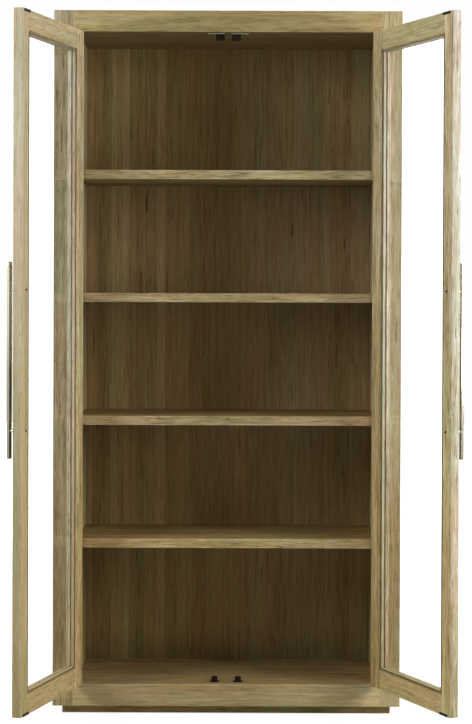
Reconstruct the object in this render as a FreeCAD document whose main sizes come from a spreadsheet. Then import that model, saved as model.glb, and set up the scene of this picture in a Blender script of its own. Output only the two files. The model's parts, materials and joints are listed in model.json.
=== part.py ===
import FreeCAD, Part
import Sketcher
import os
import types

# A tall teak bookcase with two framed glass doors, standing open on their butt hinges.
# Millimetres. X runs to the right, Y to the back and Z up, with the origin on the floor
# under the middle of the case.

doc = FreeCAD.newDocument("bookcase")

SIZES = {
    # Case
    "case_width": 1000,
    "case_depth": 400,
    "case_height": 2000,
    "post_width": 58,
    "post_depth": 45,
    "top_rail_height": 61,
    "bottom_rail_height": 63,
    "rail_depth": 40,
    "skin_thickness": 15,
    "lining_thickness": 19,
    "lining_proud": 7,
    "top_panel_thickness": 15,
    "ceiling_thickness": 15,
    "floor_thickness": 18,
    # Plinth
    "plinth_height": 25,
    "plinth_recess": 26,
    "plinth_thickness": 22,
    "stretcher_width": 80,
    # Joints in the case
    "tenon_length": 25,
    "tenon_thickness": 16,
    "tenon_shoulder": 10,
    "tongue_length": 8,
    "tongue_thickness": 5,
    "dado_depth": 9,
    "joint_clearance": 0.2,
    "cut_overrun": 1,
    # Shelves
    "shelf_thickness": 26,
    "shelf_setback": 29,
    "shelf_pitch": 355.5,
    "lowest_shelf_height": 478,
    # Back
    "board_recess": 24,
    "board_thickness": 12,
    "board_housing": 8,
    "board_tongue_length": 6,
    "board_tongue_thickness": 4,
    # Doors
    "left_open_angle": 106.5,
    "right_open_angle": 114.5,
    "door_thickness": 25,
    "door_gap": 2,
    "meeting_gap": 3,
    "hinge_stile_width": 60,
    "meeting_stile_width": 51,
    "door_rail_width": 63,
    "rabbet_width": 7,
    "lip_depth": 11,
    "door_tenon_length": 25,
    "door_tenon_thickness": 8,
    "door_tenon_shoulder": 8,
    "door_tenon_set": 2,
    "glass_thickness": 4,
    "glass_edge_gap": 2,
    "glass_arris": 0.5,
    "bead_chamfer": 2,
    "bead_quirk_width": 2,
    "bead_quirk_depth": 3,
    # Hinges
    "leaf_height": 76,
    "leaf_depth": 22,
    "leaf_thickness": 1.8,
    "barrel_radius": 4,
    "barrel_clearance": 0.4,
    "hinge_stand": 4.6,
    "hinge_end_distance": 160,
    "pin_radius": 2,
    "pin_clearance": 0.05,
    "pin_head_radius": 3,
    "pin_head_height": 1.5,
    "knuckle_gap": 0.4,
    # Handles
    "handle_length": 524,
    "handle_bar_width": 18,
    "handle_bar_thickness": 8,
    "handle_projection": 26.5,
    "handle_edge_distance": 29.5,
    "handle_height": 1008,
    "handle_hole_pitch": 374,
    "handle_corner_radius": 1,
    "standoff_radius": 4,
    "screw_radius": 2,
    "screw_clearance": 0.2,
    "screw_head_radius": 3.6,
    "screw_head_height": 2,
    "screw_reach": 10,
    # Catches
    "catch_offset": 34,
    "catch_clearance": 0.6,
    "catch_height": 16,
    "catch_flange_radius": 13,
    "catch_flange_height": 2.5,
    "catch_stem_radius": 8,
    "catch_head_radius": 9.3,
    "catch_head_height": 8.5,
    "catch_head_rounding": 3.5,
    "ceiling_plate_length": 48,
    "ceiling_plate_depth": 16,
    "ceiling_plate_thickness": 2,
    "ceiling_catch_length": 26,
    "ceiling_catch_depth": 14,
    "ceiling_catch_drop": 20,
    "strike_width": 40,
    "strike_height": 7,
    "strike_thickness": 1.5,
}

# Widths of the back boards, from left to right, as shares of the width that they cover.
BOARD_WIDTH_SHARES = [0.155, 0.125, 0.16, 0.135, 0.15, 0.115, 0.16]
SHELF_COUNT = 4
KNUCKLE_COUNT = 3
SIDES = ("left", "right")

sheet = doc.addObject("Spreadsheet::Sheet", "sizes")
for row, (alias, number) in enumerate(SIZES.items(), start=1):
    sheet.set(f"A{row}", alias)
    sheet.set(f"B{row}", str(number))
    sheet.setAlias(f"B{row}", alias)
doc.recompute()


class Size:
    """A length or an angle, kept as an expression over the sheet's cells."""

    def __init__(self, text):
        self.text = text

    def __add__(self, other):
        return Size(f"({self.text} + {other.text})")

    def __sub__(self, other):
        return Size(f"({self.text} - {other.text})")

    def __mul__(self, factor):
        return Size(f"({self.text} * {factor})")

    def __truediv__(self, divisor):
        return Size(f"({self.text} / {divisor})")

    def __neg__(self):
        return Size(f"(0 - {self.text})")

    def value(self):
        return float(sheet.evalExpression(self.text))


S = types.SimpleNamespace(**{alias: Size(f"sizes.{alias}") for alias in SIZES})
ZERO = Size("0")
nodes = []


def bind(piece, **sizes):
    for name, expression in sizes.items():
        piece.setExpression(name, expression.text)


def put(piece, x, y, z):
    piece.setExpression("Placement.Base.x", x.text)
    piece.setExpression("Placement.Base.y", y.text)
    piece.setExpression("Placement.Base.z", z.text)
    return piece


def block(name, low, high, mirrored=False):
    """A rectangular piece between two corners, or its mirror image across the YZ plane."""
    piece = doc.addObject("Part::Box", name)
    bind(piece, Length=high[0] - low[0], Width=high[1] - low[1], Height=high[2] - low[2])
    return put(piece, -high[0] if mirrored else low[0], low[1], low[2])


def upright_rod(name, radius, x, y, low, high):
    piece = doc.addObject("Part::Cylinder", name)
    bind(piece, Radius=radius, Height=high - low)
    return put(piece, x, y, low)


def cross_rod(name, radius, x, low, high, z):
    """A rod along Y."""
    piece = doc.addObject("Part::Cylinder", name)
    bind(piece, Radius=radius, Height=high - low)
    quarter_turn = FreeCAD.Rotation(FreeCAD.Vector(1, 0, 0), -90)
    piece.Placement = FreeCAD.Placement(FreeCAD.Vector(0, 0, 0), quarter_turn)
    return put(piece, x, low, z)


def fuse(name, pieces):
    piece = doc.addObject("Part::MultiFuse", name)
    piece.Shapes = pieces
    piece.Refine = True
    return piece


def cut(name, base, cutters):
    piece = doc.addObject("Part::Cut", name)
    piece.Base = base
    piece.Tool = cutters[0] if len(cutters) == 1 else fuse(name + "_cutters", cutters)
    return piece


def group(name, pieces):
    piece = doc.addObject("Part::Compound", name)
    piece.Links = pieces
    return piece


def ease(name, kind, base, amount, wanted):
    """A chamfer or fillet of one size on the edges of base that wanted picks."""
    doc.recompute()
    piece = doc.addObject(kind, name)
    piece.Base = base
    size = amount.value()
    picked = [index for index, edge in enumerate(base.Shape.Edges, start=1) if wanted(edge)]
    piece.Edges = [(index, size, size) for index in picked]
    return piece


def keep(piece, label):
    piece.Label = label
    nodes.append(piece)
    return piece


# Planes that several pieces share

half_width = S.case_width / 2
front = -(S.case_depth / 2)
back = S.case_depth / 2
case_low = S.plinth_height
case_high = S.plinth_height + S.case_height
half_opening = half_width - S.post_width
opening_low = case_low + S.bottom_rail_height
opening_high = case_high - S.top_rail_height
post_back = front + S.post_depth
rear_post_front = back - S.post_depth
rail_back = front + S.rail_depth
board_back = back - S.board_recess
board_front = board_back - S.board_thickness
top_panel_low = case_high - S.top_panel_thickness
CASE_RAIL_HEIGHTS = {"bottom": (case_low, opening_low), "top": (opening_high, case_high)}

door_low = opening_low + S.door_gap
door_high = opening_high - S.door_gap
door_middle = (door_low + door_high) / 2
door_width = half_opening - S.door_gap - S.meeting_gap / 2
door_back = front + S.door_thickness
axis_x = half_opening - S.door_gap / 2
axis_y = front - S.hinge_stand
hinge_heights = [door_low + S.hinge_end_distance, door_middle, door_high - S.hinge_end_distance]

# Pieces that run from front to back in a side: the skin outside and the lining inside.
# Each has a tongue along both upright edges. The lining stands proud of the posts' inner faces.
skin_far = half_width
skin_near = half_width - S.skin_thickness
lining_near = half_opening - S.lining_proud
lining_far = lining_near + S.lining_thickness


def tongue_band(near, far):
    """The X range of a side panel's tongue, in the middle of what the post covers of its thickness."""
    middle = (near + far) / 2
    return middle - S.tongue_thickness / 2, middle + S.tongue_thickness / 2


TONGUE_BANDS = {"skin": tongue_band(skin_near, skin_far), "lining": tongue_band(half_opening, lining_far)}


def tenon_depths(rail_front, rail_rear):
    """The Y range of a case rail's tenon."""
    middle = (rail_front + rail_rear) / 2
    return middle - S.tenon_thickness / 2, middle + S.tenon_thickness / 2


def post_cutters(name, rail_front, rail_rear, panel_face, inward, mirrored):
    """Mortises for the two rails and grooves for the skin's and the lining's tongues."""
    cutters = []
    tenon_front, tenon_rear = tenon_depths(rail_front, rail_rear)
    for level, (low, high) in CASE_RAIL_HEIGHTS.items():
        cutters.append(block(
            f"{name}_{level}_mortise",
            (half_opening - S.cut_overrun, tenon_front - S.joint_clearance,
             low + S.tenon_shoulder - S.joint_clearance),
            (half_opening + S.tenon_length + S.joint_clearance, tenon_rear + S.joint_clearance,
             high - S.tenon_shoulder + S.joint_clearance), mirrored))
    groove_depth = S.tongue_length + S.joint_clearance
    groove_rear = panel_face + S.cut_overrun if inward > 0 else panel_face + groove_depth
    groove_front = panel_face - groove_depth if inward > 0 else panel_face - S.cut_overrun
    for panel, high in (("skin", case_high + S.cut_overrun), ("lining", top_panel_low)):
        band_near, band_far = TONGUE_BANDS[panel]
        cutters.append(block(
            f"{name}_{panel}_groove",
            (band_near - S.joint_clearance, groove_front, case_low - S.cut_overrun),
            (band_far + S.joint_clearance, groove_rear, high), mirrored))
    return cutters


def front_post(side):
    mirrored = side == "left"
    name = f"front_{side}_post"
    blank = block(f"{name}_blank", (half_opening, front, case_low),
                  (half_width, post_back, case_high), mirrored)
    cutters = post_cutters(name, front, rail_back, post_back, 1, mirrored)
    for count, height in enumerate(hinge_heights, start=1):
        half_leaf = S.leaf_height / 2 + S.joint_clearance
        cutters.append(block(
            f"{name}_leaf_mortise_{count}",
            (half_opening - S.cut_overrun, front - S.cut_overrun, height - half_leaf),
            (half_opening + S.leaf_thickness, front + S.leaf_depth + S.joint_clearance, height + half_leaf),
            mirrored))
    keep(cut(name, blank, cutters), name)


def rear_post(side):
    mirrored = side == "left"
    name = f"back_{side}_post"
    blank = block(f"{name}_blank", (half_opening, rear_post_front, case_low),
                  (half_width, back, case_high), mirrored)
    cutters = post_cutters(name, rear_post_front, back, rear_post_front, -1, mirrored)
    cutters.append(block(
        f"{name}_board_groove",
        (half_opening - S.cut_overrun, board_front - S.joint_clearance, opening_low - S.board_housing),
        (half_opening + S.board_housing + S.joint_clearance, board_back + S.joint_clearance,
         opening_high + S.board_housing), mirrored))
    keep(cut(name, blank, cutters), name)


def case_rail(name, level, rail_front, rail_rear):
    """A rail between two posts with a tenon at each end."""
    low, high = CASE_RAIL_HEIGHTS[level]
    tenon_front, tenon_rear = tenon_depths(rail_front, rail_rear)
    tenon_end = half_opening + S.tenon_length
    body = block(f"{name}_body", (-half_opening, rail_front, low), (half_opening, rail_rear, high))
    tenons = block(f"{name}_tenons", (-tenon_end, tenon_front, low + S.tenon_shoulder),
                   (tenon_end, tenon_rear, high - S.tenon_shoulder))
    return fuse(f"{name}_tenoned", [body, tenons])


def case_rails():
    for level in ("top", "bottom"):
        name = f"front_{level}_rail"
        keep(case_rail(name, level, front, rail_back), name)
    housing_low = opening_low - S.board_housing - S.joint_clearance
    housing_high = opening_high + S.board_housing + S.joint_clearance
    for level, low, high in (("top", opening_high - S.cut_overrun, housing_high),
                             ("bottom", housing_low, opening_low + S.cut_overrun)):
        name = f"back_{level}_rail"
        tenoned = case_rail(name, level, rear_post_front, back)
        groove_end = half_opening + S.cut_overrun
        groove = block(f"{name}_groove", (-groove_end, board_front - S.joint_clearance, low),
                       (groove_end, board_back + S.joint_clearance, high))
        keep(cut(name, tenoned, [groove]), name)


def side_panel(name, near, far, high, band, mirrored):
    """A panel between the front and the back post, with a tongue along each upright edge."""
    band_near, band_far = band
    body = block(f"{name}_body", (near, post_back, case_low), (far, rear_post_front, high), mirrored)
    tongues = block(f"{name}_tongues", (band_near, post_back - S.tongue_length, case_low),
                    (band_far, rear_post_front + S.tongue_length, high), mirrored)
    return fuse(f"{name}_tongued", [body, tongues])


def shelf_levels():
    """Bottom and top heights of the shelves, from the lowest up."""
    levels = []
    for count in range(SHELF_COUNT):
        high = case_low + S.lowest_shelf_height + S.shelf_pitch * count
        levels.append((high - S.shelf_thickness, high))
    return levels


def housed_levels():
    """Bottom and top heights of everything whose ends are housed in the linings."""
    floor = (opening_low - S.floor_thickness, opening_low)
    ceiling = (opening_high, opening_high + S.ceiling_thickness)
    return [floor, *shelf_levels(), ceiling]


def sides():
    for side in SIDES:
        mirrored = side == "left"
        skin = f"{side}_side_skin"
        keep(side_panel(skin, skin_near, skin_far, case_high, TONGUE_BANDS["skin"], mirrored), skin)
        lining = f"{side}_side_lining"
        panel = side_panel(lining, lining_near, lining_far, top_panel_low, TONGUE_BANDS["lining"], mirrored)
        dadoes = []
        for count, (low, high) in enumerate(housed_levels(), start=1):
            dadoes.append(block(
                f"{lining}_dado_{count}",
                (lining_near - S.cut_overrun, post_back - S.cut_overrun, low - S.joint_clearance),
                (lining_near + S.dado_depth + S.joint_clearance, rear_post_front + S.cut_overrun,
                 high + S.joint_clearance), mirrored))
        keep(cut(lining, panel, dadoes), lining)


def housed_board(name, board_low_y, board_high_y, low, high):
    """A level board whose ends sit in the linings' dadoes and clear the posts."""
    inner_end = half_opening - S.joint_clearance
    housed_end = lining_near + S.dado_depth
    body = block(f"{name}_body", (-inner_end, board_low_y, low), (inner_end, board_high_y, high))
    ends = block(f"{name}_ends", (-housed_end, post_back + S.joint_clearance, low),
                 (housed_end, rear_post_front - S.joint_clearance, high))
    keep(fuse(name, [body, ends]), name)


def level_boards():
    levels = housed_levels()
    housed_board("floor_panel", rail_back, rear_post_front, *levels[0])
    housed_board("ceiling_panel", rail_back, rear_post_front, *levels[-1])
    for count, (low, high) in enumerate(shelf_levels(), start=1):
        housed_board(f"shelf_{count}", front + S.shelf_setback, board_front - S.joint_clearance, low, high)
    side_gap = S.joint_clearance
    blank = block("top_panel_blank", (-skin_near + side_gap, rail_back, top_panel_low),
                  (skin_near - side_gap, rear_post_front, case_high))
    corner_end = half_opening - S.joint_clearance
    notches = []
    for side in SIDES:
        notches.append(block(f"top_panel_{side}_notch",
                             (corner_end, rail_back - S.cut_overrun, top_panel_low - S.cut_overrun),
                             (half_width, post_back + S.joint_clearance, case_high + S.cut_overrun),
                             side == "left"))
    keep(cut("top_panel", blank, notches), "top_panel")


def back_boards():
    """Upright boards, tongued into each other and housed in the posts and the rails."""
    covered = half_opening * 2
    middle = (board_front + board_back) / 2
    tongue_front = middle - S.board_tongue_thickness / 2
    tongue_rear = middle + S.board_tongue_thickness / 2
    low = opening_low - S.board_housing
    high = opening_high + S.board_housing
    last = len(BOARD_WIDTH_SHARES) - 1
    left_edge = -half_opening
    for count, share in enumerate(BOARD_WIDTH_SHARES):
        name = f"back_board_{count + 1}"
        right_edge = left_edge + covered * share
        body_left = left_edge - S.board_housing if count == 0 else left_edge
        body_right = right_edge + S.board_housing if count == last else right_edge
        piece = block(f"{name}_body", (body_left, board_front, low), (body_right, board_back, high))
        if count < last:
            tongue = block(f"{name}_tongue", (right_edge - S.board_tongue_length, tongue_front, low),
                           (right_edge + S.board_tongue_length, tongue_rear, high))
            piece = fuse(f"{name}_tongued", [piece, tongue])
        if count > 0:
            groove = block(
                f"{name}_groove",
                (left_edge - S.cut_overrun, tongue_front - S.joint_clearance, low - S.cut_overrun),
                (left_edge + S.board_tongue_length + S.joint_clearance, tongue_rear + S.joint_clearance,
                 high + S.cut_overrun))
            piece = cut(f"{name}_grooved", piece, [groove])
        keep(piece, name)
        left_edge = right_edge


def plinth():
    outer_x = half_width - S.plinth_recess
    inner_x = outer_x - S.plinth_thickness
    outer_y = back - S.plinth_recess
    inner_y = outer_y - S.plinth_thickness
    half_stretcher = S.stretcher_width / 2
    top = S.plinth_height
    front_rail = block("plinth_front_rail", (-outer_x, -outer_y, ZERO), (outer_x, -inner_y, top))
    keep(front_rail, "plinth_front_rail")
    back_rail = block("plinth_back_rail", (-outer_x, inner_y, ZERO), (outer_x, outer_y, top))
    keep(back_rail, "plinth_back_rail")
    for side in SIDES:
        name = f"plinth_{side}_rail"
        keep(block(name, (inner_x, -inner_y, ZERO), (outer_x, inner_y, top), side == "left"), name)
    stretcher = block("plinth_stretcher", (-half_stretcher, -inner_y, ZERO), (half_stretcher, inner_y, top))
    keep(stretcher, "plinth_stretcher")


# Doors and hinges. A door is laid out closed about its hinge axis, at X 0 and Y 0, with the
# case's face at hinge_stand behind the axis, and then swung open about that axis.

door_face = S.hinge_stand
door_inside = door_face + S.door_thickness
lip_back = door_face + S.lip_depth
bead_front = lip_back + S.glass_thickness
hinge_edge = S.door_gap / 2
free_edge = hinge_edge + door_width
hinge_sight = hinge_edge + S.hinge_stile_width
hinge_rabbet = hinge_sight - S.rabbet_width
meeting_sight = free_edge - S.meeting_stile_width
meeting_rabbet = meeting_sight + S.rabbet_width
low_sight = door_low + S.door_rail_width
low_rabbet = low_sight - S.rabbet_width
high_sight = door_high - S.door_rail_width
high_rabbet = high_sight + S.rabbet_width
tenon_face = lip_back + S.door_tenon_set
tenon_inside = tenon_face + S.door_tenon_thickness
handle_x = free_edge - S.handle_edge_distance
handle_middle = case_low + S.handle_height
handle_holes = [handle_middle - S.handle_hole_pitch / 2, handle_middle + S.handle_hole_pitch / 2]
catch_x = free_edge + S.meeting_gap / 2 - S.catch_offset
DOOR_RAIL_HEIGHTS = {
    "bottom": (door_low, low_rabbet, low_sight),
    "top": (door_high, high_rabbet, high_sight),
}


def hang(piece, side):
    """Put a piece that is laid out closed on its hinge axis, swung open."""
    turn = -S.left_open_angle if side == "left" else S.right_open_angle
    piece.setExpression("Placement.Rotation.Yaw", turn.text)
    return put(piece, -axis_x if side == "left" else axis_x, axis_y, ZERO)


def keep_on_door(piece, side, what):
    return keep(hang(piece, side), f"{side}_door_{what}")


def tenon_band(level):
    """Heights of a door rail's tenon."""
    outer, rabbet, sight = DOOR_RAIL_HEIGHTS[level]
    low, high = (outer, rabbet) if level == "bottom" else (rabbet, outer)
    return low + S.door_tenon_shoulder, high - S.door_tenon_shoulder


def rail_mortises(name, low_x, high_x, mirrored):
    cutters = []
    for level in DOOR_RAIL_HEIGHTS:
        low, high = tenon_band(level)
        cutters.append(block(
            f"{name}_{level}_mortise", (low_x, tenon_face - S.joint_clearance, low - S.joint_clearance),
            (high_x, tenon_inside + S.joint_clearance, high + S.joint_clearance), mirrored))
    return cutters


def hinge_stile(side):
    mirrored = side == "right"
    name = f"{side}_hinge_stile"
    blank = block(f"{name}_blank", (hinge_edge, door_face, door_low),
                  (hinge_sight, door_inside, door_high), mirrored)
    cutters = [block(f"{name}_rabbet", (hinge_rabbet, lip_back, door_low - S.cut_overrun),
                     (hinge_sight + S.cut_overrun, door_inside + S.cut_overrun, door_high + S.cut_overrun),
                     mirrored)]
    tenon_end = hinge_rabbet - S.door_tenon_length - S.joint_clearance
    cutters += rail_mortises(name, tenon_end, hinge_sight, mirrored)
    half_leaf = S.leaf_height / 2 + S.joint_clearance
    for count, height in enumerate(hinge_heights, start=1):
        cutters.append(block(
            f"{name}_leaf_mortise_{count}",
            (hinge_edge - S.cut_overrun, door_face - S.cut_overrun, height - half_leaf),
            (hinge_edge + S.leaf_thickness, door_face + S.leaf_depth + S.joint_clearance, height + half_leaf),
            mirrored))
    keep_on_door(cut(name, blank, cutters), side, "hinge_stile")


def meeting_stile(side):
    mirrored = side == "right"
    name = f"{side}_meeting_stile"
    blank = block(f"{name}_blank", (meeting_sight, door_face, door_low),
                  (free_edge, door_inside, door_high), mirrored)
    cutters = [block(f"{name}_rabbet", (meeting_sight - S.cut_overrun, lip_back, door_low - S.cut_overrun),
                     (meeting_rabbet, door_inside + S.cut_overrun, door_high + S.cut_overrun), mirrored)]
    tenon_end = meeting_rabbet + S.door_tenon_length + S.joint_clearance
    cutters += rail_mortises(name, meeting_sight, tenon_end, mirrored)
    hole_x = -handle_x if mirrored else handle_x
    for count, height in enumerate(handle_holes, start=1):
        cutters.append(cross_rod(f"{name}_hole_{count}", S.screw_radius + S.screw_clearance, hole_x,
                                 door_face - S.cut_overrun, door_inside + S.cut_overrun, height))
    keep_on_door(cut(name, blank, cutters), side, "meeting_stile")


def door_rails(side):
    """Rails with a lip outside, a rabbet inside and a tenon through to both stiles."""
    mirrored = side == "right"
    for level, (outer, rabbet, sight) in DOOR_RAIL_HEIGHTS.items():
        name = f"{side}_{level}_rail"
        lip_low, lip_high = (outer, sight) if level == "bottom" else (sight, outer)
        body_low, body_high = (outer, rabbet) if level == "bottom" else (rabbet, outer)
        tenon_low, tenon_high = tenon_band(level)
        lip = block(f"{name}_lip", (hinge_sight, door_face, lip_low),
                    (meeting_sight, lip_back, lip_high), mirrored)
        body = block(f"{name}_body", (hinge_rabbet, lip_back, body_low),
                     (meeting_rabbet, door_inside, body_high), mirrored)
        tenons = block(f"{name}_tenons", (hinge_rabbet - S.door_tenon_length, tenon_face, tenon_low),
                       (meeting_rabbet + S.door_tenon_length, tenon_inside, tenon_high), mirrored)
        keep_on_door(fuse(name, [lip, body, tenons]), side, f"{level}_rail")


def glass(side):
    gap = S.glass_edge_gap
    pane = block(f"{side}_pane", (hinge_rabbet + gap, lip_back, low_rabbet + gap),
                 (meeting_rabbet - gap, bead_front, high_rabbet - gap), side == "right")
    arrised = ease(f"{side}_glass", "Part::Chamfer", pane, S.glass_arris, lambda edge: True)
    keep_on_door(arrised, side, "glass")


def mitred_strip(name, length, corner, inward, near, far, low, high, overrun):
    """A strip along one side of the glazing rabbet, mitred at both ends.

    It starts at a corner of the rabbet and lies between the distances near and far from the rabbet's
    wall, measured inward, and between the depths low and high."""
    along = FreeCAD.Vector(-inward.z, 0, inward.x)
    strip = doc.addObject("Part::Wedge", name)
    bind(strip, Xmin=near - overrun, Xmax=length - near + overrun, X2min=far - overrun,
         X2max=length - far + overrun, Ymin=near, Ymax=far, Zmin=low, Zmax=high, Z2min=low, Z2max=high)
    turn = FreeCAD.Rotation(along, inward, FreeCAD.Vector(0, 1, 0), "XYZ")
    strip.Placement = FreeCAD.Placement(FreeCAD.Vector(0, 0, 0), turn)
    return put(strip, corner[0], ZERO, corner[1])


def bead(name, length, corner, inward):
    """A glazing bead with a quirk beside the frame and a chamfer along its sight edge."""
    blank = mitred_strip(f"{name}_blank", length, corner, inward, ZERO, S.rabbet_width,
                         bead_front, door_inside, ZERO)
    quirk = mitred_strip(f"{name}_quirk", length, corner, inward, -S.cut_overrun, S.bead_quirk_width,
                         door_inside - S.bead_quirk_depth, door_inside + S.cut_overrun, S.cut_overrun)
    quirked = cut(f"{name}_quirked", blank, [quirk])
    doc.recompute()
    sight_place = FreeCAD.Vector(length.value() / 2, S.rabbet_width.value(), door_inside.value())
    spot = Part.Vertex(blank.Placement.multVec(sight_place))
    nearest = min(edge.distToShape(spot)[0] for edge in quirked.Shape.Edges)
    return ease(name, "Part::Chamfer", quirked, S.bead_chamfer,
                lambda edge: edge.distToShape(spot)[0] == nearest)


def beads(side):
    """Four beads round the glass.

    Seen from inside the case, each one's inward side is on the left of its run."""
    left_x, right_x = hinge_rabbet, meeting_rabbet
    if side == "right":
        left_x, right_x = -meeting_rabbet, -hinge_rabbet
    height = high_rabbet - low_rabbet
    width = meeting_rabbet - hinge_rabbet
    uprights = [
        bead(f"{side}_left_bead", height, (left_x, low_rabbet), FreeCAD.Vector(1, 0, 0)),
        bead(f"{side}_right_bead", height, (right_x, high_rabbet), FreeCAD.Vector(-1, 0, 0)),
    ]
    keep_on_door(group(f"{side}_upright_beads", uprights), side, "upright_beads")
    crosses = [
        bead(f"{side}_bottom_bead", width, (right_x, low_rabbet), FreeCAD.Vector(0, 0, 1)),
        bead(f"{side}_top_bead", width, (left_x, high_rabbet), FreeCAD.Vector(0, 0, -1)),
    ]
    keep_on_door(group(f"{side}_cross_beads", crosses), side, "cross_beads")


def handle(side):
    mirrored = side == "right"
    centre_x = -handle_x if mirrored else handle_x
    bar_front = door_face - S.handle_projection
    bar_back = bar_front + S.handle_bar_thickness
    half_bar = S.handle_bar_width / 2
    half_length = S.handle_length / 2
    blank = block(f"{side}_bar_blank", (handle_x - half_bar, bar_front, handle_middle - half_length),
                  (handle_x + half_bar, bar_back, handle_middle + half_length), mirrored)
    bar = ease(f"{side}_bar", "Part::Fillet", blank, S.handle_corner_radius, lambda edge: True)
    keep_on_door(bar, side, "handle_bar")
    standoffs = []
    screws = []
    screw_end = door_face - S.screw_reach
    for count, height in enumerate(handle_holes, start=1):
        name = f"{side}_standoff_{count}"
        post = cross_rod(f"{name}_post", S.standoff_radius, centre_x, bar_back, door_face, height)
        bore = cross_rod(f"{name}_bore", S.screw_radius + S.screw_clearance, centre_x,
                         screw_end - S.screw_clearance, door_face + S.cut_overrun, height)
        standoffs.append(cut(name, post, [bore]))
        shank = cross_rod(f"{name}_shank", S.screw_radius, centre_x, screw_end, door_inside, height)
        head = cross_rod(f"{name}_head", S.screw_head_radius, centre_x, door_inside,
                         door_inside + S.screw_head_height, height)
        screws.append(fuse(f"{name}_screw", [shank, head]))
    keep_on_door(group(f"{side}_standoffs", standoffs), side, "handle_standoffs")
    keep_on_door(group(f"{side}_screws", screws), side, "handle_screws")


def strike_plates(side):
    half_strike = S.strike_width / 2
    plates = []
    for level, low, high in (("bottom", door_low, door_low + S.strike_height),
                             ("top", door_high - S.strike_height, door_high)):
        plates.append(block(f"{side}_{level}_strike", (catch_x - half_strike, door_inside, low),
                            (catch_x + half_strike, door_inside + S.strike_thickness, high), side == "right"))
    keep_on_door(group(f"{side}_strikes", plates), side, "strike_plates")


def leaf(name, height, on_door, mirrored):
    """One leaf of a butt hinge: a plate and its knuckles, bored for the pin.

    The leaf on the case has the end knuckles and the leaf on the door the middle one."""
    half_leaf = S.leaf_height / 2
    half_middle = half_leaf / KNUCKLE_COUNT
    half_gap = S.knuckle_gap / 2
    low, high = height - half_leaf, height + half_leaf
    middle = (height - half_middle, height + half_middle)
    ends = [(low, middle[0] - half_gap), (middle[1] + half_gap, high)]
    own = [(middle[0] + half_gap, middle[1] - half_gap)] if on_door else ends
    if on_door:
        others = [(low - S.cut_overrun, middle[0] + half_gap), (middle[1] - half_gap, high + S.cut_overrun)]
    else:
        others = [(middle[0] - half_gap, middle[1] + half_gap)]
    near = S.door_gap / 2
    far = near + S.leaf_thickness
    plate = block(f"{name}_plate", (near, ZERO, low), (far, door_face + S.leaf_depth, high),
                  mirrored == on_door)
    swept = S.barrel_radius + S.barrel_clearance
    reliefs = [upright_rod(f"{name}_relief_{count}", swept, ZERO, ZERO, *band)
               for count, band in enumerate(others, start=1)]
    knuckles = [upright_rod(f"{name}_knuckle_{count}", S.barrel_radius, ZERO, ZERO, *band)
                for count, band in enumerate(own, start=1)]
    joined = fuse(f"{name}_joined", [cut(f"{name}_relieved", plate, reliefs), *knuckles])
    bore = upright_rod(f"{name}_bore", S.pin_radius + S.pin_clearance, ZERO, ZERO,
                       low - S.cut_overrun, high + S.cut_overrun)
    return cut(name, joined, [bore])


def pin(name, height):
    half_leaf = S.leaf_height / 2
    low, high = height - half_leaf, height + half_leaf
    shaft = upright_rod(f"{name}_shaft", S.pin_radius, ZERO, ZERO, low, high)
    foot = upright_rod(f"{name}_foot", S.pin_head_radius, ZERO, ZERO, low - S.pin_head_height, low)
    head = upright_rod(f"{name}_head", S.pin_head_radius, ZERO, ZERO, high, high + S.pin_head_height)
    return fuse(name, [shaft, foot, head])


def hinges():
    case_leaves = []
    pins = []
    for side in SIDES:
        mirrored = side == "right"
        side_x = -axis_x if side == "left" else axis_x
        door_leaves = []
        for count, height in enumerate(hinge_heights, start=1):
            name = f"{side}_hinge_{count}"
            case_leaf = leaf(f"{name}_case_leaf", height, False, mirrored)
            case_leaves.append(put(case_leaf, side_x, axis_y, ZERO))
            pins.append(put(pin(f"{name}_pin", height), side_x, axis_y, ZERO))
            door_leaves.append(leaf(f"{name}_door_leaf", height, True, mirrored))
        keep_on_door(group(f"{side}_door_leaves", door_leaves), side, "hinge_leaves")
    keep(group("case_leaves", case_leaves), "hinge_frame_leaves")
    keep(group("pins", pins), "hinge_pins")


def catch_post(name, x, y):
    """A turned catch on the floor: flange, stem and rounded head."""
    body = doc.addObject("PartDesign::Body", name)
    sketch = body.newObject("Sketcher::SketchObject", f"{name}_profile")
    plane = next(item for item in body.Origin.OriginFeatures if item.Role == "XZ_Plane")
    sketch.AttachmentSupport = [(plane, "")]
    sketch.MapMode = "FlatFace"
    outline = [
        (ZERO, ZERO),
        (S.catch_flange_radius, ZERO),
        (S.catch_flange_radius, S.catch_flange_height),
        (S.catch_stem_radius, S.catch_flange_height),
        (S.catch_stem_radius, S.catch_height - S.catch_head_height),
        (S.catch_head_radius, S.catch_height - S.catch_head_height),
        (S.catch_head_radius, S.catch_height - S.catch_head_rounding),
        (S.catch_head_radius - S.catch_head_rounding, S.catch_height),
        (ZERO, S.catch_height),
    ]
    corners = [FreeCAD.Vector(across.value(), up.value(), 0) for across, up in outline]
    for start, corner in enumerate(corners):
        sketch.addGeometry(Part.LineSegment(corner, corners[(start + 1) % len(corners)]))
    for start in range(len(corners)):
        sketch.addConstraint(Sketcher.Constraint("Coincident", start, 2, (start + 1) % len(corners), 1))
    for start, (across, up) in enumerate(outline):
        for kind, expression in (("DistanceX", across), ("DistanceY", up)):
            number = sketch.addConstraint(Sketcher.Constraint(kind, -1, 1, start, 1, expression.value()))
            sketch.setExpression(f"Constraints[{number}]", expression.text)
    turned = body.newObject("PartDesign::Revolution", f"{name}_turned")
    turned.Profile = sketch
    turned.ReferenceAxis = (sketch, ["V_Axis"])
    turned.Angle = 360
    return put(body, x, y, opening_low)


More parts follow.
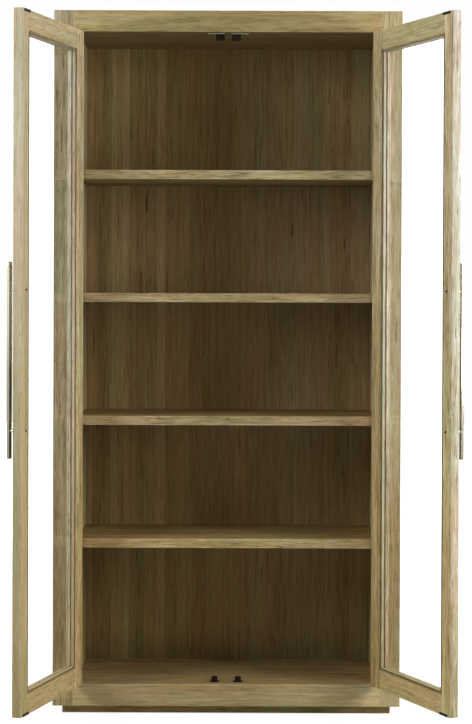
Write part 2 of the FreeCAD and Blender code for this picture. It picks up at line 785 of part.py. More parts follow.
def catches():
    catch_front = door_back + S.strike_thickness + S.catch_clearance
    posts = []
    hangers = []
    for side in SIDES:
        mirrored = side == "left"
        side_x = -S.catch_offset if mirrored else S.catch_offset
        posts.append(catch_post(f"{side}_floor_catch", side_x, catch_front + S.catch_flange_radius))
        name = f"{side}_ceiling_catch"
        plate_near = S.catch_offset - S.ceiling_plate_length / 2
        plate_far = S.catch_offset + S.ceiling_plate_length / 2
        plate_low = opening_high - S.ceiling_plate_thickness
        plate = block(f"{name}_plate", (plate_near, catch_front, plate_low),
                      (plate_far, catch_front + S.ceiling_plate_depth, opening_high), mirrored)
        housing = block(f"{name}_housing", (plate_near, catch_front, opening_high - S.ceiling_catch_drop),
                        (plate_near + S.ceiling_catch_length, catch_front + S.ceiling_catch_depth, plate_low),
                        mirrored)
        hangers.append(fuse(name, [plate, housing]))
    keep(group("floor_catch_pair", posts), "floor_catches")
    keep(group("ceiling_catch_pair", hangers), "ceiling_catches")


def check_and_write():
    """Recompute, stop at anything broken, and write one file for each piece."""
    doc.recompute()
    for piece in doc.Objects:
        if "Invalid" in piece.State or "Error" in piece.State:
            raise RuntimeError(f"{piece.Name} failed: {piece.State}")
    for piece in nodes:
        if piece.Shape.isNull() or not piece.Shape.isValid() or not piece.Shape.Solids:
            raise RuntimeError(f"{piece.Label} has no sound shape")
    os.makedirs("parts", exist_ok=True)
    for piece in nodes:
        piece.Shape.exportStep(f"parts/{piece.Label}.step")
        print(piece.Label, len(piece.Shape.Solids), round(piece.Shape.Volume))


plinth()
for side in SIDES:
    front_post(side)
    rear_post(side)
case_rails()
sides()
level_boards()
back_boards()
for side in SIDES:
    hinge_stile(side)
    meeting_stile(side)
    door_rails(side)
    glass(side)
    beads(side)
    handle(side)
    strike_plates(side)
hinges()
catches()
check_and_write()
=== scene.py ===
import json
import math
import random

import bmesh
import bpy
from mathutils import Matrix, Vector

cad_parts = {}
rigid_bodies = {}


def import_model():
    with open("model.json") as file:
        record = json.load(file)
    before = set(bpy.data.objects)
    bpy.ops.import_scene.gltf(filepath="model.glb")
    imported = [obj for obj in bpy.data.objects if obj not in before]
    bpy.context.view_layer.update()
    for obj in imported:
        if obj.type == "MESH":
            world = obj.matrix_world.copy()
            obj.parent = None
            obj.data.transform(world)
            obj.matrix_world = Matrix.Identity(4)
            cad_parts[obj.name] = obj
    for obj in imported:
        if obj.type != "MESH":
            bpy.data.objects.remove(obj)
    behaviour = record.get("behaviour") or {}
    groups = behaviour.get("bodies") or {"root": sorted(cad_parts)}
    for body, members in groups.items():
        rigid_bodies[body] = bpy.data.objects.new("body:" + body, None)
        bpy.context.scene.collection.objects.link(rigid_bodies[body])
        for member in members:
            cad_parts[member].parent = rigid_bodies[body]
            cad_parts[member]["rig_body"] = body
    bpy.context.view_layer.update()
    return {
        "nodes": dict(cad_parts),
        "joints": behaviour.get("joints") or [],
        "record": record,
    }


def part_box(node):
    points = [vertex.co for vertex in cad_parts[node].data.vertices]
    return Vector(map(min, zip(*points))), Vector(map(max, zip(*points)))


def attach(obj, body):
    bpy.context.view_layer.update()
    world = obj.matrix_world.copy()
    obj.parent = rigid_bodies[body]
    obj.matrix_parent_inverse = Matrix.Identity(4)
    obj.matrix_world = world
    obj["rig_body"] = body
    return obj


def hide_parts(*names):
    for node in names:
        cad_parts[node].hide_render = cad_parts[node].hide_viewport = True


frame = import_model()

# A tall teak bookcase with two framed glass doors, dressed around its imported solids.
# Metres. X runs to the right, Y to the back and Z up.

NODES = frame["nodes"]
MM = 0.001
X, Y, Z = range(3)
WHITE = (1.0, 1.0, 1.0)


# Door frames. A door's own frame has its hinge axis at the origin and the closed door along X.

def door_frames():
    frames = {}
    for joint in frame["joints"]:
        closed = math.radians(joint["range_deg"][0])
        turn = Matrix.Rotation(-closed * joint["axis"][Z], 4, "Z")
        frames[joint["child"]] = Matrix.Translation(joint["pos_m"]) @ turn
    return frames


DOOR_FRAMES = door_frames()


def body_of(node):
    return NODES[node]["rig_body"]


def frame_of(node):
    """The frame that a node is square to at rest: its door's, or the part's own."""
    return DOOR_FRAMES.get(body_of(node), Matrix.Identity(4))


def square_box(node):
    """Lowest and highest corner of a node in the frame that it is square to."""
    inverse = frame_of(node).inverted()
    places = [inverse @ vertex.co for vertex in NODES[node].data.vertices]
    low = Vector(min(place[axis] for place in places) for axis in (X, Y, Z))
    high = Vector(max(place[axis] for place in places) for axis in (X, Y, Z))
    return low, high


# Node trees

MIX_FACTOR, MIX_FIRST, MIX_SECOND = 0, 6, 7
MIX_RESULT = 2
LOW_DETAIL = 1.0
USUAL_DETAIL = 2.0
HIGH_DETAIL = 3.0


def add(tree, kind, inputs=None, **settings):
    """A new node with its settings and with each input set to a value or linked to a socket."""
    made = tree.nodes.new(kind)
    for name, value in settings.items():
        setattr(made, name, value)
    for key, value in (inputs or {}).items():
        if isinstance(value, bpy.types.NodeSocket):
            tree.links.new(value, made.inputs[key])
        else:
            made.inputs[key].default_value = value
    return made


def calc(tree, operation, *values):
    return add(tree, "ShaderNodeMath", dict(enumerate(values)), operation=operation).outputs[0]


def vector_calc(tree, operation, *values):
    return add(tree, "ShaderNodeVectorMath", dict(enumerate(values)), operation=operation).outputs[0]


def length(tree, vector):
    return add(tree, "ShaderNodeVectorMath", {0: vector}, operation="LENGTH").outputs["Value"]


def noise(tree, vector, scales, detail=USUAL_DETAIL):
    """Noise over a vector that is first stretched by scales, about 0.5 in the middle."""
    stretched = vector_calc(tree, "MULTIPLY", vector, scales)
    made = add(tree, "ShaderNodeTexNoise", {"Vector": stretched, "Scale": 1.0, "Detail": detail})
    return made.outputs[0]


def line_noise(tree, value, scale, detail=USUAL_DETAIL):
    """Noise along one value, such as a distance."""
    made = add(tree, "ShaderNodeTexNoise", {"W": value, "Scale": scale, "Detail": detail},
               noise_dimensions="1D")
    return made.outputs[0]


def spread(tree, value, low, high, to_low=0.0, to_high=1.0):
    """A value carried over from the range between low and high to the one between to_low and to_high."""
    ends = enumerate((value, low, high, to_low, to_high))
    return add(tree, "ShaderNodeMapRange", dict(ends)).outputs[0]


def opaque(colour):
    """A colour as a socket takes it. One that comes from a socket stays as it is."""
    return colour if isinstance(colour, bpy.types.NodeSocket) else (*colour, 1.0)


def ramp(tree, value, stops):
    """A colour ramp through (position, colour) stops."""
    made = add(tree, "ShaderNodeValToRGB", {0: value})
    elements = made.color_ramp.elements
    while len(elements) < len(stops):
        elements.new(1.0)
    for element, (position, colour) in zip(elements, stops):
        element.position = position
        element.color = opaque(colour)
    return made.outputs[0]


def mix_colour(tree, factor, first, second, blend="MIX"):
    inputs = {MIX_FACTOR: factor, MIX_FIRST: opaque(first), MIX_SECOND: opaque(second)}
    return add(tree, "ShaderNodeMix", inputs, data_type="RGBA", blend_type=blend).outputs[MIX_RESULT]


def tinted(tree, colour, tint):
    """A colour multiplied by a tint."""
    return mix_colour(tree, 1.0, colour, tint, "MULTIPLY")


def partly_tinted(tree, colour, factor, tint):
    """A colour multiplied by a tint as far as factor goes."""
    return mix_colour(tree, factor, colour, tinted(tree, colour, tint))


def mix_shaders(tree, factor, first, second):
    return add(tree, "ShaderNodeMixShader", {0: factor, 1: first.outputs[0], 2: second.outputs[0]})


def new_material(name):
    """An empty node material and its output's surface socket."""
    material = bpy.data.materials.new(name)
    material.use_nodes = True
    material.node_tree.nodes.clear()
    output = add(material.node_tree, "ShaderNodeOutputMaterial")
    return material, material.node_tree, output.inputs["Surface"]


def split(tree, vector):
    return add(tree, "ShaderNodeSeparateXYZ", {0: vector}).outputs


def joined(tree, *parts):
    return add(tree, "ShaderNodeCombineXYZ", dict(enumerate(parts))).outputs[0]


def object_place(tree):
    return add(tree, "ShaderNodeTexCoord").outputs["Object"]


def placed(tree, matrix):
    """Object coordinates in a frame that is only moved and turned."""
    inputs = {"Vector": object_place(tree), "Location": matrix.translation, "Rotation": matrix.to_euler()}
    return add(tree, "ShaderNodeMapping", inputs, vector_type="TEXTURE").outputs[0]


def bump(tree, height, strength, distance):
    inputs = {"Height": height, "Strength": strength, "Distance": distance}
    return add(tree, "ShaderNodeBump", inputs).outputs[0]


# Grain. A board's coordinates have its middle at the origin and its grain along Z, and scales are per metre.

SWAY_SCALES = (3.0, 3.0, 0.7)
SWAY_REACH = 50 * MM
RIPPLE_SCALES = (26.0, 26.0, 7.0)
RIPPLE_REACH = 11 * MM
JITTER_SCALES = (110.0, 110.0, 40.0)
JITTER_REACH = 3.5 * MM
BLOTCH_SCALES = (11.0, 11.0, 2.4)
BAND_SCALES = (30.0, 30.0, 1.8)
STREAK_SCALES = (115.0, 115.0, 8.0)
FIBRE_SCALES = (320.0, 320.0, 18.0)
LINE_SCALES = (210.0, 210.0, 10.0)
TICK_SCALES = (240.0, 240.0, 26.0)
MOTTLE_SCALES = (75.0, 75.0, 30.0)
HUE_SCALES = (20.0, 20.0, 2.2)
WASH_SCALES = (60.0, 60.0, 5.0)
RING_SCALE = 62.0
FINE_RING_SCALE = 220.0
MIDDLE_NOISE = (0.5, 0.5, 0.5)

# The ranges of noise over which the layers run from none to all of themselves
GRAIN_RANGE = (0.3, 0.7)
LINE_RANGE = (0.58, 0.72)
TICK_RANGE = (0.66, 0.76)
HUE_RANGE = (0.35, 0.65)
WASH_RANGE = (0.45, 0.7)

TONE_SHARES = {"rings": 0.16, "fine_rings": 0.10, "blotches": 0.16, "bands": 0.16, "streaks": 0.20,
               "mottle": 0.10, "fibres": 0.28, "lines": -0.34, "ticks": -0.50}
HEIGHT_SHARES = {"fibres": 0.6, "fine_rings": 0.4, "ticks": -1.0}


def shifted(tree, vector, scales, reach):
    """A vector moved sideways by slow noise, at most about half of reach each way."""
    stretched = vector_calc(tree, "MULTIPLY", vector, scales)
    made = add(tree, "ShaderNodeTexNoise", {"Vector": stretched, "Scale": 1.0, "Detail": LOW_DETAIL})
    centred = vector_calc(tree, "SUBTRACT", made.outputs["Color"], MIDDLE_NOISE)
    return vector_calc(tree, "MULTIPLY_ADD", centred, (reach, reach, 0.0), vector)


def summed(tree, parts, shares):
    total = 0.0
    for name, share in shares.items():
        total = calc(tree, "MULTIPLY_ADD", parts[name], share, total)
    return total


def teak_group():
    """Grain around a pith line along Z: how light, warm and washed the wood is, and how raised its grain."""
    tree = bpy.data.node_groups.new("teak_grain", "ShaderNodeTree")
    tree.interface.new_socket("Vector", in_out="INPUT", socket_type="NodeSocketVector")
    for name in ("Tone", "Warmth", "Wash", "Height"):
        tree.interface.new_socket(name, in_out="OUTPUT", socket_type="NodeSocketFloat")
    straight = add(tree, "NodeGroupInput").outputs["Vector"]
    vector = shifted(tree, straight, SWAY_SCALES, SWAY_REACH)
    vector = shifted(tree, vector, RIPPLE_SCALES, RIPPLE_REACH)
    vector = shifted(tree, vector, JITTER_SCALES, JITTER_REACH)
    radius = length(tree, vector_calc(tree, "MULTIPLY", vector, (1.0, 1.0, 0.0)))
    parts = {
        "rings": spread(tree, line_noise(tree, radius, RING_SCALE), *GRAIN_RANGE),
        "fine_rings": spread(tree, line_noise(tree, radius, FINE_RING_SCALE, LOW_DETAIL), *GRAIN_RANGE),
        "blotches": spread(tree, noise(tree, vector, BLOTCH_SCALES), *GRAIN_RANGE),
        "bands": spread(tree, noise(tree, vector, BAND_SCALES), *GRAIN_RANGE),
        "streaks": spread(tree, noise(tree, vector, STREAK_SCALES, HIGH_DETAIL), *GRAIN_RANGE),
        "mottle": spread(tree, noise(tree, vector, MOTTLE_SCALES), *GRAIN_RANGE),
        "fibres": spread(tree, noise(tree, vector, FIBRE_SCALES), *GRAIN_RANGE),
        "lines": spread(tree, noise(tree, vector, LINE_SCALES), *LINE_RANGE),
        "ticks": spread(tree, noise(tree, vector, TICK_SCALES), *TICK_RANGE),
    }
    tone = summed(tree, parts, TONE_SHARES)
    height = summed(tree, parts, HEIGHT_SHARES)
    warmth = spread(tree, noise(tree, vector, HUE_SCALES), *HUE_RANGE)
    wash = spread(tree, noise(tree, vector, WASH_SCALES), *WASH_RANGE)
    add(tree, "NodeGroupOutput", {"Tone": tone, "Warmth": warmth, "Wash": wash, "Height": height})
    return tree


TEAK_GROUP = teak_group()


# Boards

DOOR_RAILS = ("top_rail", "bottom_rail", "cross_beads")
LEVEL_BOARDS = ("top_rail", "bottom_rail", "floor_panel", "ceiling_panel", "shelf", "top_panel",
                "plinth_front", "plinth_back")
DEEP_BOARDS = ("plinth_left", "plinth_right", "plinth_stretcher")

# The order of a board's axes for each axis that its grain can run along, with the grain last
GRAIN_ORDERS = {X: (Z, Y, X), Y: (X, Z, Y), Z: (X, Y, Z)}


def grain_axis(node):
    """The axis that a board's grain runs along in the frame that the board is square to."""
    if body_of(node) != "carcass":
        return X if node.endswith(DOOR_RAILS) else Z
    if any(word in node for word in LEVEL_BOARDS):
        return X
    return Y if any(word in node for word in DEEP_BOARDS) else Z


def first_match(table, node, otherwise):
    """The value of the first word of a table that a node's name holds."""
    return next((value for word, value in table.items() if word in node), otherwise)


# Colours of the wood
TEAK_STOPS = [
    (0.0, (0.115, 0.075, 0.028)),
    (0.3, (0.225, 0.168, 0.072)),
    (0.5, (0.300, 0.235, 0.108)),
    (0.7, (0.375, 0.305, 0.158)),
    (1.0, (0.500, 0.425, 0.260)),
]
MIDDLE_TONE = 0.5
WARM_TINT = (1.08, 0.97, 0.91)
OLIVE_TINT = (0.94, 1.02, 0.94)
WASH_TINT = (0.99, 1.03, 1.20)
# Painted sheen, paler and bluer, towards the top of the case and painted shade, warmer and darker, towards
# its foot, by height above the floor
TOP_SHEEN_TINT = (1.0, 1.03, 1.12)
FOOT_SHADE_TINT = (1.0, 0.96, 0.82)
HIGH_LEVEL = 1.4
LOW_LEVEL = 0.3

# Surface of the wood
GRAIN_BUMP = 0.35
GRAIN_RELIEF = 0.6 * MM
SUNKEN_ROUGHNESS = 0.66
RAISED_ROUGHNESS = 0.52
WOOD_SPECULAR = 0.2

# Tints of boards, matched board by board. They hold each board's own tone and also painted light and shade:
# painted shade darkens the ceiling panel and the floor panel, and a pale bluish painted sheen lightens the
# meeting stiles. The first word that a node's name holds counts.
TINTS = {
    "front_top_rail": (0.92, 0.88, 0.74),
    "front_bottom_rail": (1.13, 1.12, 1.30),
    "plinth_front_rail": (1.20, 1.15, 0.95),
    "front_right_post": (0.97, 1.00, 1.16),
    "front_left_post": (0.84, 0.85, 0.96),
    "left_door_hinge": (1.08, 1.04, 1.10),
    "right_door_hinge": (1.00, 0.90, 0.90),
    # pale bluish painted sheen on the meeting stiles
    "left_door_meeting": (1.14, 1.20, 1.38),
    "right_door_meeting": (1.30, 1.35, 1.50),
    "left_door_upright_beads": (0.95, 0.97, 1.15),
    "right_door_upright_beads": (0.95, 1.05, 1.40),
    "left_door_cross_beads": (0.98, 1.02, 1.30),
    "right_door_cross_beads": (1.05, 1.10, 1.45),
    "left_door_bottom_rail": (1.04, 0.95, 0.99),
    "left_door": (1.05, 1.03, 1.07),
    "right_door": (1.20, 1.20, 1.20),
    "shelf_4": (1.04, 1.04, 1.00),
    "shelf_3": (1.00, 0.88, 0.86),
    "shelf_2": (1.03, 0.97, 1.00),
    "shelf_1": (1.17, 1.07, 1.10),
    # painted shade on the ceiling panel and the floor panel
    "ceiling_panel": (0.45, 0.37, 0.30),
    "floor_panel": (0.80, 0.72, 0.74),
    "back_board_1": (1.08, 0.96, 0.88),
    "back_board_2": (0.96, 0.86, 0.76),
    "back_board_3": (0.92, 0.80, 0.70),
    "back_board_4": (0.97, 0.79, 0.71),
    "back_board_5": (1.00, 0.93, 0.93),
    "back_board_6": (0.83, 0.76, 0.76),
    "back_board_7": (0.98, 0.92, 0.92),
    "post": (1.02, 1.04, 1.12),
}

# How strongly the grain shows, found in the same way
CONTRASTS = {
    "hinge_stile": 1.6,
    "left_door_meeting": 0.55,
    "right_door_meeting": 1.3,
    "door": 0.95,
    "front_left_post": 1.5,
    "front_right_post": 1.05,
    "shelf": 1.3,
    "back_board": 0.75,
    "front_top_rail": 0.85,
    "front_bottom_rail": 0.65,
    "side_skin": 1.0,
}
USUAL_CONTRAST = 1.2

# How much longer than usual the figure of the grain is
GRAIN_LENGTHS = {"back_board": 1.5, "lining": 1.5}

# Zones of a board: axis, side to measure from, and how many mm inward the zone starts and is whole
LOW, HIGH = 0, 1
BEHIND_SHELF_EDGE = (Y, LOW, 14, 19)
BEHIND_RAIL_FACE = (Y, LOW, 1, 4)
RAIL_RIGHT_END = (X, HIGH, 367, 167)
FLOOR_FRONT = (Y, LOW, 25, -5)
CEILING_BACK = (Y, LOW, -12, 324)
POST_TOP = (Z, HIGH, 175, 45)
BACK_FOOT = (Z, LOW, 110, 15)
BACK_UPPER_PART = (Z, LOW, 700, 820)
BACK_TOP = (Z, LOW, 1400, 1560)
DOOR_OUTER_FACE = (Y, LOW, 0.8, 0.4)
DOOR_LIP = (Y, LOW, 11.4, 10.4)
LEFT_FREE_EDGE = (X, HIGH, 1.5, 0.9)
RIGHT_FREE_EDGE = (X, LOW, 1.5, 0.9)
BEAD_FACE = (Y, HIGH, 2.6, 1.6)

# Tints of zones, each on top of the board's own tint. Most are painted light and shade, and the doors'
# outer-face tints take the boards' painted light and shade back off those faces.
ZONE_TINTS = [
    # painted shade on the shelf tops behind their front edges
    ("shelf", BEHIND_SHELF_EDGE, (0.70, 0.67, 0.55)),
    ("shelf_2", BEHIND_SHELF_EDGE, (0.98, 0.90, 0.76)),
    # painted shade on the floor panel's front
    ("floor_panel", FLOOR_FRONT, (0.88, 0.88, 0.84)),
    ("front_right_post", POST_TOP, (1.01, 0.96, 0.82)),
    # pale bluish painted sheen at the meeting stiles' free edges; the outer-face tints take the boards'
    # painted light back off their outer faces
    ("left_door_meeting_stile", LEFT_FREE_EDGE, (0.97, 0.98, 1.08)),
    ("left_door_meeting_stile", DOOR_OUTER_FACE, (0.86, 0.80, 0.70)),
    ("right_door_meeting_stile", RIGHT_FREE_EDGE, (0.79, 0.85, 1.13)),
    ("right_door_meeting_stile", DOOR_OUTER_FACE, (0.76, 0.72, 0.64)),
    ("right_door_top_rail", DOOR_OUTER_FACE, (0.82, 0.80, 0.82)),
    # painted shade on the bottom rails' lips and pale bluish painted light on the hinge stiles' lips, where
    # they show through the glass; the outer-face tints take these back off the outer faces
    ("left_door_bottom_rail", DOOR_LIP, (0.72, 0.76, 0.98)),
    ("left_door_bottom_rail", DOOR_OUTER_FACE, (1.35, 1.28, 1.02)),
    ("right_door_bottom_rail", DOOR_LIP, (0.70, 0.70, 0.90)),
    ("right_door_bottom_rail", DOOR_OUTER_FACE, (1.17, 1.15, 0.92)),
    ("hinge_stile", DOOR_LIP, (0.85, 0.97, 1.25)),
    ("hinge_stile", DOOR_OUTER_FACE, (1.12, 1.00, 0.78)),
    # painted shade on the beads' faces, a dark line where they meet the frame
    ("upright_beads", BEAD_FACE, (0.36, 0.31, 0.22)),
    ("cross_beads", BEAD_FACE, (0.50, 0.44, 0.35)),
    # on the back, painted shade at its foot and painted light over its upper part, less of it towards its
    # top
    ("back_board", BACK_FOOT, (0.70, 0.75, 0.85)),
    ("back_board", BACK_UPPER_PART, (1.07, 1.04, 1.02)),
    ("back_board", BACK_TOP, (0.95, 0.96, 0.86)),
    # painted shade on the ceiling panel, lightening towards its back
    ("ceiling_panel", CEILING_BACK, (1.90, 1.95, 2.00)),
    # painted shade on the rails' faces behind their fronts, the bottom rail's top and the top rail's
    # underside, and painted light on the bottom rail's right end
    ("front_bottom_rail", BEHIND_RAIL_FACE, (0.58, 0.58, 0.55)),
    ("front_bottom_rail", RAIL_RIGHT_END, (1.11, 1.12, 1.11)),
    ("front_top_rail", BEHIND_RAIL_FACE, (0.55, 0.52, 0.46)),
]


def zone_share(tree, parts, box, zone):
    """0 where a zone starts and 1 where it is whole, from coordinates in the board's square frame."""
    axis, side, start, whole = zone
    face = box[side][axis]
    inward = MM if side == LOW else -MM
    return spread(tree, parts[axis], face + start * inward, face + whole * inward)


# Knots and small cracks in the back: x, z, half width and half length in mm, and depth of tone
KNOTS = [(-253, 1487, 3.0, 26, 0.8), (196, 1410, 2.5, 20, 0.6), (356, 1364, 2.0, 24, 0.6)]
KNOT_SCALES = (300.0, 300.0, 90.0)
KNOT_RAGGEDNESS = 1.6
KNOT_CORE = 0.4
KNOT_RIM = 1.3


def knots_on(box):
    """The knots that lie within a back board's box, in metres."""
    low, high = box
    found = []
    for x, z, wide, tall, depth in KNOTS:
        if low.x <= x * MM <= high.x and low.z <= z * MM <= high.z:
            found.append((x * MM, z * MM, wide * MM, tall * MM, depth))
    return found


def knot_shade(tree, parts, knot):
    """How dark a knot makes the wood, from coordinates in the part's frame."""
    x, z, wide, tall, depth = knot
    jitter = noise(tree, joined(tree, *parts), KNOT_SCALES)
    off_x = calc(tree, "DIVIDE", calc(tree, "SUBTRACT", parts[X], x), wide)
    off_z = calc(tree, "DIVIDE", calc(tree, "SUBTRACT", parts[Z], z), tall)
    away = length(tree, joined(tree, off_x, off_z, 0.0))
    ragged = calc(tree, "MULTIPLY_ADD", jitter, KNOT_RAGGEDNESS, -KNOT_RAGGEDNESS / 2)
    return spread(tree, calc(tree, "ADD", away, ragged), KNOT_CORE, KNOT_RIM, depth, 0.0)


STAVE_WIDTH = 55 * MM
STAVE_UNEVENNESS = 0.9
STAVE_TONE = 0.26
STAVE_WANDER = 14 * MM
STAVE_SCALES = (9.0, 9.0, 1.6)
STAVE_STARTS = (1, 9)


def staves(tree, board, chance):
    """The strips that a wide board is glued up from: tone and warmth offsets, each about 0 in the middle."""
    across = split(tree, shifted(tree, board, STAVE_SCALES, STAVE_WANDER))[X]
    place = calc(tree, "ADD", across, chance.uniform(*STAVE_STARTS))
    inputs = {"W": place, "Scale": 1 / STAVE_WIDTH, "Randomness": STAVE_UNEVENNESS}
    cells = add(tree, "ShaderNodeTexVoronoi", inputs, voronoi_dimensions="1D")
    offsets = split(tree, vector_calc(tree, "SUBTRACT", cells.outputs["Color"], MIDDLE_NOISE))
    return offsets[0], offsets[1]


# Paler edges, partly wear and partly a painted highlight along the arrises
WORN_LIT_EDGE_COLOUR = (0.52, 0.46, 0.32)
WORN_LIT_EDGE_REACH = 3.0 * MM
WORN_LIT_EDGE_SHARE = 0.4
WORN_LIT_EDGE_SCALES = (160.0, 160.0, 30.0)
WORN_LIT_EDGE_UNEVENNESS = 12.0 * MM
WORN_LIT_EDGE_OFFSET = -5.0 * MM


def second_smallest(tree, values):
    first, second, third = values
    lower = calc(tree, "MINIMUM", first, second)
    upper = calc(tree, "MAXIMUM", first, second)
    return calc(tree, "MAXIMUM", lower, calc(tree, "MINIMUM", upper, third))


def worn_lit_edges(tree, board, half):
    """How much paler a board of the given half sizes is, partly from wear and partly as a painted highlight
    along its arrises: most along its edges, unevenly, and 0 away from them.
    """
    inward = vector_calc(tree, "SUBTRACT", half, vector_calc(tree, "ABSOLUTE", board))
    distance = second_smallest(tree, split(tree, inward))
    broken = noise(tree, board, WORN_LIT_EDGE_SCALES, HIGH_DETAIL)
    uneven = calc(tree, "MULTIPLY_ADD", broken, WORN_LIT_EDGE_UNEVENNESS, WORN_LIT_EDGE_OFFSET)
    return spread(tree, calc(tree, "ADD", distance, uneven), 0.0, WORN_LIT_EDGE_REACH, WORN_LIT_EDGE_SHARE, 0.0)


PITH_DISTANCES = (0.06, 0.22)
LOG_PLACES = (5, 50)


def log_place(chance):
    """Where in a log a board is cut: beside the pith, and along it."""
    pith_angle = chance.uniform(0, math.tau)
    pith_distance = chance.uniform(*PITH_DISTANCES)
    along = chance.uniform(*LOG_PLACES)
    return pith_distance * math.cos(pith_angle), pith_distance * math.sin(pith_angle), along


def grain_on(tree, node, board, shift):
    """The grain's outputs on a board that is shifted to its place in the log."""
    grain_length = first_match(GRAIN_LENGTHS, node, 1.0)
    shortened = vector_calc(tree, "MULTIPLY", board, (1.0, 1.0, 1 / grain_length))
    grained = add(tree, "ShaderNodeGroup", node_tree=TEAK_GROUP)
    tree.links.new(vector_calc(tree, "ADD", shortened, shift), grained.inputs["Vector"])
    return grained.outputs


def board_tinted(tree, colour, node, box, parts):
    """A colour with its board's tint, with painted sheen towards the top of the case and painted shade
    towards its foot, and with the tints of zones, most of them painted light and shade.
    """
    colour = tinted(tree, colour, first_match(TINTS, node, WHITE))
    level = calc(tree, "ADD", parts[Z], frame_of(node).translation.z)
    # painted sheen towards the top and painted shade towards the foot
    sheen_and_shade_by_height = mix_colour(tree, spread(tree, level, LOW_LEVEL, HIGH_LEVEL), FOOT_SHADE_TINT, TOP_SHEEN_TINT)
    colour = tinted(tree, colour, sheen_and_shade_by_height)
    for word, zone, tint in ZONE_TINTS:
        if word in node:
            colour = partly_tinted(tree, colour, zone_share(tree, parts, box, zone), tint)
    return colour


def teak(node):
    """The teak of one board, cut from its own place in a log."""
    chance = random.Random(node)
    box = square_box(node)
    low, high = box
    order = GRAIN_ORDERS[grain_axis(node)]
    half = [(high[axis] - low[axis]) / 2 for axis in order]
    material, tree, surface = new_material(f"teak_{node}")
    place = placed(tree, frame_of(node))
    parts = split(tree, place)
    centred = split(tree, vector_calc(tree, "SUBTRACT", place, (low + high) / 2))
    board = joined(tree, *(centred[axis] for axis in order))
    grain = grain_on(tree, node, board, log_place(chance))
    tone = calc(tree, "SUBTRACT", grain["Tone"], MIDDLE_TONE)
    tone = calc(tree, "MULTIPLY_ADD", tone, first_match(CONTRASTS, node, USUAL_CONTRAST), MIDDLE_TONE)
    warmth = grain["Warmth"]
    if "back_board" in node:
        stave_tone, stave_warmth = staves(tree, board, chance)
        tone = calc(tree, "MULTIPLY_ADD", stave_tone, STAVE_TONE, tone)
        warmth = calc(tree, "ADD", warmth, stave_warmth)
        for knot in knots_on(box):
            tone = calc(tree, "SUBTRACT", tone, knot_shade(tree, parts, knot))
    colour = ramp(tree, tone, TEAK_STOPS)
    colour = tinted(tree, colour, mix_colour(tree, warmth, OLIVE_TINT, WARM_TINT))
    colour = partly_tinted(tree, colour, grain["Wash"], WASH_TINT)
    # paler edges: wear and a painted highlight
    colour = mix_colour(tree, worn_lit_edges(tree, board, half), colour, WORN_LIT_EDGE_COLOUR)
    colour = board_tinted(tree, colour, node, box, parts)
    roughness = spread(tree, grain["Height"], 0.0, 1.0, SUNKEN_ROUGHNESS, RAISED_ROUGHNESS)
    shader = add(tree, "ShaderNodeBsdfPrincipled",
                 {"Base Color": colour, "Roughness": roughness, "Specular IOR Level": WOOD_SPECULAR,
                  "Normal": bump(tree, grain["Height"], GRAIN_BUMP, GRAIN_RELIEF)})
    tree.links.new(shader.outputs[0], surface)
    return material


EASED_EDGE = 1.0 * MM
EASED_SEGMENTS = 2
EASED_ANGLE = math.radians(40)
WELD_REACH = 0.01 * MM


def ease_edges(thing):
    """Joins the split corners of a solid's mesh and rounds its sharp edges."""
    weld = thing.modifiers.new("weld", "WELD")
    weld.merge_threshold = WELD_REACH
    bevel = thing.modifiers.new("eased", "BEVEL")
    bevel.width = EASED_EDGE
    bevel.segments = EASED_SEGMENTS
    bevel.limit_method = "ANGLE"
    bevel.angle_limit = EASED_ANGLE
    bevel.harden_normals = False
    normals = thing.modifiers.new("normals", "WEIGHTED_NORMAL")
    normals.keep_sharp = True


def paint(thing, material):
    thing.data.materials.clear()
    thing.data.materials.append(material)


def slot_nodes(slot):
    return sorted(part["node"] for part in frame["record"]["subparts"] if part["material_slot"] == slot)


def dress_wood():
    for node in slot_nodes("teak"):
        paint(NODES[node], teak(node))
        ease_edges(NODES[node])


# Glass, brass and black metal

GLASS_INDEX = 1.5
SMEAR_SCALES = (6.0, 6.0, 2.0)
SMEAR_DETAIL = 4.0
SMEAR_RANGE = (0.35, 0.75)
SMEAR_ROUGHNESS = 0.04
DUST_SCALES = (3.0, 3.0, 2.0)
DUST_RANGE = (0.3, 0.8)
CLEAN_GLASS = (0.98, 0.99, 1.0)
DUSTY_GLASS = (0.965, 0.98, 0.99)


def glass():
    """Clear glass, with a reflection that grows towards the edge of view, smeared here and there."""
    material, tree, surface = new_material("clear_glass")
    place = object_place(tree)
    smears = noise(tree, place, SMEAR_SCALES, SMEAR_DETAIL)
    roughness = spread(tree, smears, *SMEAR_RANGE, 0.0, SMEAR_ROUGHNESS)
    dust = spread(tree, noise(tree, place, DUST_SCALES, HIGH_DETAIL), *DUST_RANGE)
    tone = mix_colour(tree, dust, CLEAN_GLASS, DUSTY_GLASS)
    clear = add(tree, "ShaderNodeBsdfTransparent", {"Color": tone})
    shine = add(tree, "ShaderNodeBsdfAnisotropic", {"Color": opaque(WHITE), "Roughness": roughness})
    leaving = add(tree, "ShaderNodeNewGeometry").outputs["Backfacing"]
    index = spread(tree, leaving, 0.0, 1.0, GLASS_INDEX, 1 / GLASS_INDEX)
    reflect = add(tree, "ShaderNodeFresnel", {"IOR": index}).outputs[0]
    tree.links.new(mix_shaders(tree, reflect, clear, shine).outputs[0], surface)
    return material


